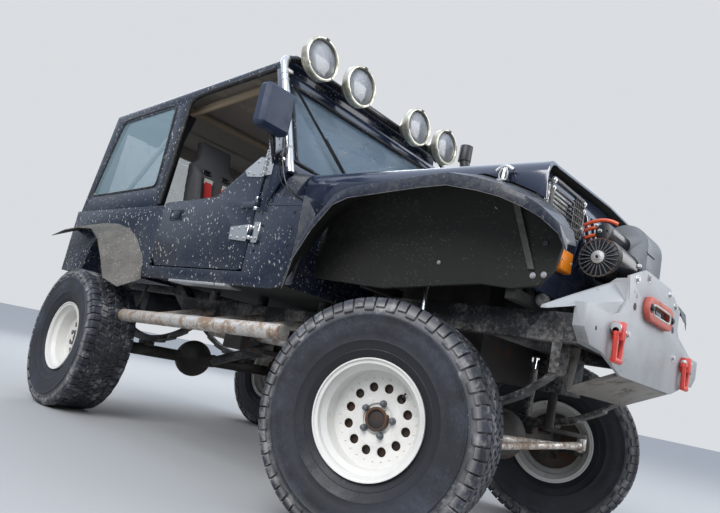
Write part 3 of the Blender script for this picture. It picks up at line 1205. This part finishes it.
def sideFittings(side):
    name = sideName(side)
    door = f"door_{name}"
    polished = materials["polished_metal"]
    onDoor = [sidePlate("upper", sideParts["upperPlate"], side, 0.7622, 0.004, polished),
        sidePlate("lower", sideParts["lowerPlate"], side, 0.7715, 0.003, polished)]
    onDoor.append(sideBolts("bolts", [(-1.105, 1.418), (-1.040, 1.468), (-1.000, 1.402), (-1.060, 1.405)], side,
        0.7662, silverDust))
    onDoor.append(sideBolts("bolts",
        [(-1.118, 1.112), (-1.118, 1.078), (-1.060, 1.120), (-1.060, 1.070), (-1.005, 1.122), (-1.005, 1.068)],
        side, 0.7742, silverDust))
    # Paddle handle in its recess
    x, z = sideParts["handle"]
    wide, tall = sideParts["handleHalf"]
    border = [(at(x) + sx * wide, side * 0.7618, z + sz * tall) for sx, sz in ((-1, -1), (1, -1), (1, 1), (-1, 1))]
    onDoor.append(tube(materials["body_paint"], "border",
        [p for i in range(4) for p in (Vector(border[i]).lerp(Vector(border[i - 1]), 0.12), Vector(border[i]),
        Vector(border[i]).lerp(Vector(border[(i + 1) % 4]), 0.12))], 0.0028, closed=True))
    onDoor.append(block(blackGloss, "well",
        *sided(side, (at(x) - wide, 0.7610, z - tall), (at(x) + wide, 0.7626, z + tall)), 0.0004))
    onDoor.append(block(materials["body_paint"], "paddle",
        *sided(side, (at(x) - 0.020, 0.7620, z - tall + 0.006), (at(x) + 0.044, 0.7690, z + tall - 0.006)), 0.003))
    onDoor.append(turned(silverDust, "lock", [(0, 0), (0.010, 0), (0.010, 0.003), (0.008, 0.004), (0, 0.004)], 24,
        (at(x) - 0.040, side * 0.7622, z), turnTo((0, side, 0))))
    # Rubber along the door's top edge
    rail = [(-1.872, 1.289), (-1.347, 1.303), (-1.254, 1.365), (-1.140, 1.433)]
    onDoor.append(tube(extras["seal"], "rail", onSide(rail, side, 0.745), 0.006, False))
    finished(joined(f"{door}_fittings", onDoor), door, "polished_metal")

    onBody = [sidePlate("leaf", sideParts["upperLeaf"], side, 0.7723, 0.003, polished),
        sidePlate("leaf", sideParts["lowerLeaf"], side, 0.7702, 0.003, polished)]
    onBody += barrel(side, 1.378, 1.515)
    onBody.append(sidePlate("drilled", sideParts["drilled"], side, 0.787, 0.003, silverDust))
    dots = [(-0.972 + 0.0045 * k, 1.604 - 0.0165 * k) for k in range(8)] + [(-0.905, 1.590), (-0.885, 1.560),
        (-0.872, 1.530), (-0.930, 1.560)]
    onBody.append(repeated("holes", spun("hole", [(0, 0), (0.0042, 0), (0.0042, 0.0006), (0, 0.0006)], 14),
        [(place, turnTo((0, side, 0)), 1.0) for place in onSide(dots, side, 0.7901)], blackGloss))
    onBody.append(sideBolts("bolts", [(-0.925, 1.462), (-0.925, 1.408), (-0.915, 1.128), (-0.915, 1.068)], side,
        0.7742, silverDust))
    # Strap from the bracket up to the mirror, and its lower stay
    onBody.append(tube(blackGloss, "stay",
        [(at(-0.900), side * 0.795, 1.478), (at(-0.880), side * 0.815, 1.520), (at(-0.850), side * 0.860, 1.560)],
        0.011))
    onBody.append(tube(blackGloss, "rod",
        [(at(-0.868), side * 0.770, 1.494), (at(-0.850), side * 0.690, 1.478), (at(-0.828), side * 0.590, 1.466)],
        0.011))
    onBody.append(turned(blackGloss, "ball", [(0, -0.014), (0.012, -0.010), (0.016, 0), (0.012, 0.010), (0, 0.014)],
        24, (at(-0.848), side * 0.874, 1.556)))
    # Pressed lines of the cowl: a tall rectangle, the low seam and the fender seam
    lines = [sideParts["stamping"] + sideParts["stamping"][:1], [(-0.957, 1.236), (-0.800, 1.232), (-0.640, 1.226)],
        [(-0.640, 1.226), (-0.637, 1.120), (-0.640, 0.980)]]
    for i, line in enumerate(lines):
        onBody.append(tube(materials["body_paint"] if i == 0 else blackGloss, "line", onSide(line, side, 0.7622),
            0.0019 if i else 0.0026, False))
    onBody.append(sideBolts("bolts", [(-0.68, 1.195), (-0.68, 1.12), (-0.68, 1.04), (-0.92, 1.01), (-0.74, 1.01)],
        side, 0.762, blackGloss, 0.005, 0.004))
    # Leads from the mirror down to the wing
    onBody.append(tube(blackGloss, "lead",
        [(at(px), side * py, pz) for px, py, pz in ((-0.832, 0.795, 1.530), (-0.829, 0.794, 1.480),
        (-0.802, 0.790, 1.400), (-0.768, 0.784, 1.330), (-0.712, 0.776, 1.286), (-0.640, 0.770, 1.250))], 0.0032))
    onBody.append(tube(blackGloss, "lead",
        [(at(px), side * py, pz) for px, py, pz in ((-0.862, 0.770, 1.430), (-0.842, 0.778, 1.385),
        (-0.802, 0.778, 1.330), (-0.742, 0.772, 1.290), (-0.650, 0.768, 1.256))], 0.0026))
    # Bright tread plate under the sill, with its raised bars
    onBody.append(block(silverDust, "tread", *sided(side, (at(-1.565), 0.690, 0.822), (at(-1.037), 0.792, 0.8352)),
        0.0015))
    bars = [((at(-1.555 + 0.022 * k), side * 0.7922, 0.8285),
        turnTo((0, side, 0)) @ Matrix.Rotation(0.8 if k % 2 else -0.8, 3, "Z"), 1.0) for k in range(24)]
    onBody.append(repeated("diamonds", spun("diamond", [(0, 0), (0.0045, 0), (0.003, 0.0012), (0, 0.0014)], 6),
        bars, polished))
    finished(joined(f"body_fittings_{name}", onBody), "chassis", "polished_metal")

    # Mirror glass in its shell
    face = [(0.4075, side * 0.900 + 0.076 * cy, 1.652 + 0.094 * cz)
        for cy, cz in ((-1, -0.86), (-0.86, -1), (0.86, -1), (1, -0.86), (1, 0.86), (0.86, 1), (-0.86, 1),
            (-1, 0.86))]
    finished(bevelled(plate("glass", face, 0.0022, (-1, 0, 0)), 0.0006, 1), "chassis", "clear_lens",
        extras["mirrorGlass"]).name = f"mirror_glass_{name}"

    # Seals of the door opening and the side window
    seal = [(at(px), side * (leanY(pz) - 0.004), pz) for px, pz in sideParts["opening"]]
    finished(run(f"door_seal_{name}", seal, 0.0140), "chassis", "trim_plastic", extras["seal"])
    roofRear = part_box("rear_hatch")[1][2] + 0.112
    path = [(x, z if z > 1 else roofRear + z) for x, z in sideParts["window"]]
    corner = 0.05
    loop = []
    for i, (px, pz) in enumerate(path):
        here = Vector((px, pz))
        before, after = (Vector(path[i - 1]) - here).normalized(), (Vector(path[(i + 1) % 4]) - here).normalized()
        loop += [here + before * corner * 1.3, here + (before + after) * corner * 0.18, here + after * corner * 1.3]
    finished(run(f"window_seal_{name}", [(at(px), side * (leanY(pz) - 0.0005), pz) for px, pz in loop], 0.0065,
        closed=True), "chassis", "trim_plastic", extras["seal"])
    # The short seam behind the door opening
    seam = [(at(-2.043), side * (leanY(1.890) + 0.0002), 1.890),
        (at(-2.150), side * (leanY(1.888) + 0.0002), 1.888)]
    finished(run(f"quarter_seam_{name}", seam, 0.0016, False), "chassis", "trim_plastic", blackGloss)


for side in (-1, 1):
    sideFittings(side)

# Pressed ribs under the roof, with drilled lightening holes, and the pale stay at the back
roofAbove = landing("hardtop")
ribs = []
for x in (-1.48, -1.86, -2.28, -2.70):
    hits = [roofAbove((at(x), y, 1.60), (0, 0, 1)) for y in (-0.60, 0.60)]
    top = min(hit.z for hit in hits if hit)
    outline = [(-0.040, 0), (-0.026, -0.016), (0.026, -0.016), (0.040, 0)]
    rib = plate("rib", [(at(x) + dx, -0.655, top + dz + 0.001) for dx, dz in outline], 1.310, (0, 1, 0))
    ribs.append(painted(bevelled(rib, 0.004), extras["headliner"]))
    dots = [((at(x), y, top - 0.0152), Matrix.Rotation(math.pi, 3, "X"), 1.0)
        for y in (-0.52, -0.46, -0.40, 0.40, 0.46, 0.52)]
    ribs.append(repeated("holes", spun("hole", [(0, 0), (0.007, 0), (0.007, 0.0008), (0, 0.0008)], 16), dots,
        blackGloss))
finished(joined("roof_ribs", ribs), "chassis", "seat_cloth")
for side in (-1, 1):
    name = sideName(side)
    stay = run(f"rear_stay_{name}", [(at(-2.235), side * 0.600, 1.960), (at(-2.98), side * 0.600, 1.300)], 0.019,
        False)
    finished(stay, "chassis", "cage_pad", extras["paleStrap"])
print("sides fitted")


# Soft pieces: seats and roll cage padding
def padShape(node, voxel):
    mesh = frame["nodes"][node].data.copy()
    shape = bmesh.new()
    shape.from_mesh(mesh)
    bmesh.ops.remove_doubles(shape, verts=shape.verts, dist=1e-5)
    shape.to_mesh(mesh)
    shape.free()
    piece = newPiece(f"{node}_pad", mesh)
    remesh = piece.modifiers.new("voxels", "REMESH")
    remesh.mode, remesh.voxel_size = "VOXEL", voxel
    piece = settled(piece, 180)
    smooth = piece.modifiers.new("smooth", "SMOOTH")
    smooth.factor, smooth.iterations = 0.5, 6
    return settled(piece, 180)


def inflated(piece, pressure, most, frames=20):
    # The pad swells under pressure, and no point moves further than the cap
    start = [vertex.co.copy() for vertex in piece.data.vertices]
    cloth = piece.modifiers.new("cloth", "CLOTH")
    cloth.settings.use_pressure = True
    cloth.settings.uniform_pressure_force = pressure
    cloth.settings.effector_weights.gravity = 0.0
    cloth.settings.quality = 4
    cloth.settings.tension_stiffness = cloth.settings.compression_stiffness = 20
    cloth.collision_settings.use_collision = False
    cloth.point_cache.frame_start, cloth.point_cache.frame_end = 1, frames
    scene = bpy.context.scene
    for step in range(1, frames + 1):
        scene.frame_set(step)
    piece = settled(piece, 180)
    for vertex, first in zip(piece.data.vertices, start):
        moved = vertex.co - first
        if moved.length > most:
            vertex.co = first + moved.normalized() * most
    scene.frame_set(1)
    return piece


def seats():
    piece = padShape("front_seats", 0.013)
    piece = inflated(piece, 4.0, 0.010)
    piece.name = "front_seat_pads"
    finished(piece, "chassis", "seat_cloth", stands=["front_seats"])
    touch = landing("front_seats")
    for side in (-1, 1):
        name = sideName(side)
        middle = side * 0.375
        trims = []
        for y in (-0.072, 0.072):
            # Slot rims, red shoulder pads and the pale webbing below them
            hole = [touch((0.3, middle + y + dy, z), (-1, 0, 0))
                for dy, z in ((-0.030, 1.596), (0.030, 1.596), (0.030, 1.622), (-0.030, 1.622))]
            if all(hole):
                trims.append(tube(blackGloss, "rim", [p + Vector((0.008, 0, 0)) for p in hole], 0.007, closed=True))
            path = [touch((0.3, middle + y * share, z), (-1, 0, 0))
                for z, share in ((1.600, 1.0), (1.54, 0.98), (1.48, 0.95), (1.42, 0.92), (1.34, 0.88), (1.26, 0.8),
                    (1.18, 0.6), (1.10, 0.3))]
            path = [p + Vector((0.016, 0, 0)) for p in path if p]
            trims.append(painted(ribbon("pad", path[:4], 0.062, 0.014), extras["harnessRed"]))
            trims.append(painted(ribbon("web", path[3:], 0.046, 0.003), extras["harnessRed"]))
            trims.append(block(extras["paleStrap"], "buckle", path[3] + Vector((-0.002, -0.030, -0.016)),
                path[3] + Vector((0.012, 0.030, 0.016))))
            trims.append(block(extras["paleStrap"], "label", path[0] + Vector((0.004, -0.030, -0.012)),
                path[0] + Vector((0.014, 0.030, 0.022))))
        for z in (1.30, 1.44):
            seam = [touch((0.3, middle + y, z + 0.02 * math.cos(y * 14)), (-1, 0, 0))
                for y in (-0.13, -0.09, -0.045, 0, 0.045, 0.09, 0.13)]
            trims.append(tube(extras["seamThread"], "seam", [p + Vector((0.0075, 0, 0)) for p in seam if p],
                0.0022))
        finished(joined(f"harness_{name}", trims), "chassis", "seat_cloth")


def ribbon(name, path, width, thick):
    # A flat strap of webbing along points, as wide as it is in y
    shape = bmesh.new()
    rings = []
    for i, point in enumerate(path):
        along = (path[min(i + 1, len(path) - 1)] - path[max(i - 1, 0)]).normalized()
        out = along.cross(Vector((0, 1, 0))).normalized()
        out = out if out.x > 0 else -out
        ring = [shape.verts.new(point + Vector((0, dy * width / 2, 0)) + out * dz * thick)
            for dy, dz in ((-1, 0), (-0.85, 1), (0.85, 1), (1, 0), (0.85, -0.3), (-0.85, -0.3))]
        rings.append(ring)
    for one, two in zip(rings, rings[1:]):
        for i in range(6):
            shape.faces.new([one[i], one[(i + 1) % 6], two[(i + 1) % 6], two[i]])
    shape.faces.new(rings[0])
    shape.faces.new(rings[-1][::-1])
    return bevelled(fromShape(name, shape), 0.001, 1, 30, 1)


seats()
cage = skinOf("roll_cage", 0.002, 1)
cage.name = "roll_cage_padding"
cage.data.materials.clear()
cage.data.materials.append(materials["cage_pad"])
cage.data.materials.append(extras["blackCloth"])
for face in cage.data.polygons:  # the hoop's legs are in dark padding
    face.material_index = 1 if face.center.x < at(-2.12) and face.center.z < 1.97 else 0
finished(cage, bodyOf["roll_cage"], "cage_pad", stands=["roll_cage"])
print("soft pieces made")


# Back and underside
gateFace, hatchFace = landing("tailgate"), landing("rear_hatch")


def onGate(y, z):
    return gateFace((-2.5, y, z), (1, 0, 0)).x


gateX = onGate(0.19, 1.11)
finished(bevelled(brick("rear_plate", (gateX - 0.004, 0.03, 1.03), (gateX + 0.001, 0.35, 1.19)), 0.001, 1),
    "tailgate", "wheel_paint", extras["paleStrap"])
bolts("plate_screws", "tailgate", [(gateX - 0.004, y, z) for y in (0.06, 0.32) for z in (1.045, 1.175)], (-1, 0, 0),
    silverDust, 0.004, 0.003)
bolts("gate_bolts", "tailgate", [(onGate(y, z), y, z) for y in (-0.10, -0.20) for z in (1.000, 1.220)], (-1, 0, 0),
    silverDust, 0.007, 0.006)
ribX = [block(materials["body_paint"], "rib", (gateX - 0.003, -0.30, z - 0.012), (gateX + 0.002, -0.03, z + 0.012),
    0.0025) for z in (1.06, 1.11, 1.16)]
finished(joined("gate_ribs", ribX), "tailgate", "body_paint")
for side in (-1, 1):
    name = sideName(side)
    lens = [turned(silverDust, "bulb", [(0.010, -0.002), (0.024, 0.0005), (0.030, 0.0012), (0.034, -0.002)], 32,
        (-1.925, side * 0.645, z), turnTo((-1, 0, 0)), True) for z in (1.035, 1.115)]
    lens += [block(materials["clear_lens"], "clear", (-1.9265, side * 0.645 - 0.040, 1.062),
        (-1.924, side * 0.645 + 0.040, 1.088), 0.0008, 1)]
    finished(joined(f"tail_lamp_trim_{name}", lens), "chassis", "clear_lens")
hit = hatchFace((-2.5, 0, 1.40), (1, 0, 0))
grip = [turned(blackGloss, "grip", [(0, 0), (0.022, 0), (0.024, 0.006), (0.016, 0.012), (0.010, 0.022), (0, 0.024)],
    32, (hit.x + 0.001, 0, 1.40), turnTo((-1, 0, 0))),
        tube(blackGloss, "pull", [(hit.x - 0.012, -0.040, 1.400), (hit.x - 0.022, 0, 1.400),
            (hit.x - 0.012, 0.040, 1.400)], 0.007)]
finished(joined("hatch_grip", grip), "hatch", "trim_plastic")
cap = [(0, 0), (0.052, 0), (0.056, 0.006), (0.050, 0.012), (0.044, 0.022), (0.020, 0.026), (0, 0.026)]
finished(spun("fuel_cap", cap, 40, (at(-2.93), 0.762, 1.220), turnTo((0, 1, 0))), "chassis", "trim_plastic",
    blackGloss)
print("rear fitted")


# Stage, light and camera
def stage():
    size = 60.0
    mesh = bpy.data.meshes.new("floor")
    mesh.from_pydata([(-size, -size, 0), (size, -size, 0), (size, size, 0), (-size, size, 0)], [], [(0, 1, 2, 3)])
    floor = newPiece("floor", mesh)
    paint = Finish("floorPaint", Base_Color=(0.36, 0.36, 0.355), Roughness=0.9)
    mesh.materials.append(paint.material)


def skyLight():
    # A bright cloudy ceiling over a darker ground, seen by the camera as one pale tone
    world = bpy.data.worlds.new("sky")
    bpy.context.scene.world = world
    world.use_nodes = True
    tree = world.node_tree
    tree.nodes.clear()
    place = tree.nodes.new("ShaderNodeTexCoord")
    split = tree.nodes.new("ShaderNodeSeparateXYZ")
    ramp = tree.nodes.new("ShaderNodeMapRange")
    mix = tree.nodes.new("ShaderNodeMix")
    mix.data_type = "RGBA"
    rays = tree.nodes.new("ShaderNodeLightPath")
    choose = tree.nodes.new("ShaderNodeMix")
    choose.data_type = "RGBA"
    light = tree.nodes.new("ShaderNodeBackground")
    end = tree.nodes.new("ShaderNodeOutputWorld")
    tree.links.new(place.outputs["Generated"], split.inputs[0])
    tree.links.new(split.outputs["Z"], ramp.inputs[0])
    ramp.inputs[1].default_value, ramp.inputs[2].default_value = -0.02, 0.60
    tree.links.new(ramp.outputs[0], mix.inputs[0])
    mix.inputs[6].default_value = (0.16, 0.18, 0.20, 1)
    mix.inputs[7].default_value = (1.00, 1.12, 1.32, 1)
    tree.links.new(rays.outputs["Is Camera Ray"], choose.inputs[0])
    tree.links.new(mix.outputs[2], choose.inputs[6])
    choose.inputs[7].default_value = (0.70, 0.725, 0.755, 1)
    tree.links.new(choose.outputs[2], light.inputs[0])
    light.inputs[1].default_value = 1.0
    tree.links.new(light.outputs[0], end.inputs[0])


lamps = [  # name, place, aim, size, power in watts
    ("key", (2.5, -6.5, 6.0), (0, 0, 1.0), 5.0, 620.0),
    ("fill", (6.0, 3.5, 3.5), (0, 0, 1.0), 4.0, 260.0),
    ("back", (-6.0, 3.0, 5.0), (0, 0, 1.0), 5.0, 260.0),
]


def lightUp():
    skyLight()
    for name, place, aim, size, power in lamps:
        lamp = bpy.data.lights.new(name, "AREA")
        lamp.size, lamp.energy = size, power
        holder = newPiece(name, lamp)
        holder.location = place
        holder.rotation_euler = (Vector(aim) - Vector(place)).to_track_quat("-Z", "Y").to_euler()


photoView = {
    "place": (at(1.4103), -2.4397, 0.5625),
    "right": (0.72777, 0.65612, 0.19965),
    "up": (-0.02138, -0.26926, 0.96283),
    "forward": (-0.68549, 0.70499, 0.18194),
    "lens": 30.227,
    "sensor": 36.0,
}


def addCamera():
    camera = bpy.data.cameras.new("photoCamera")
    camera.lens, camera.sensor_width, camera.sensor_fit = photoView["lens"], photoView["sensor"], "HORIZONTAL"
    camera.clip_start, camera.clip_end = 0.05, 200.0
    holder = newPiece("photoCamera", camera)
    right, up, forward = (Vector(photoView[key]) for key in ("right", "up", "forward"))
    turn = Matrix((right, up, -forward)).transposed()
    holder.matrix_world = Matrix.Translation(photoView["place"]) @ turn.to_4x4()
    bpy.context.scene.camera = holder


stage()
lightUp()
addCamera()
bpy.context.scene.view_settings.view_transform = "Standard"
print("stage, light and camera set")
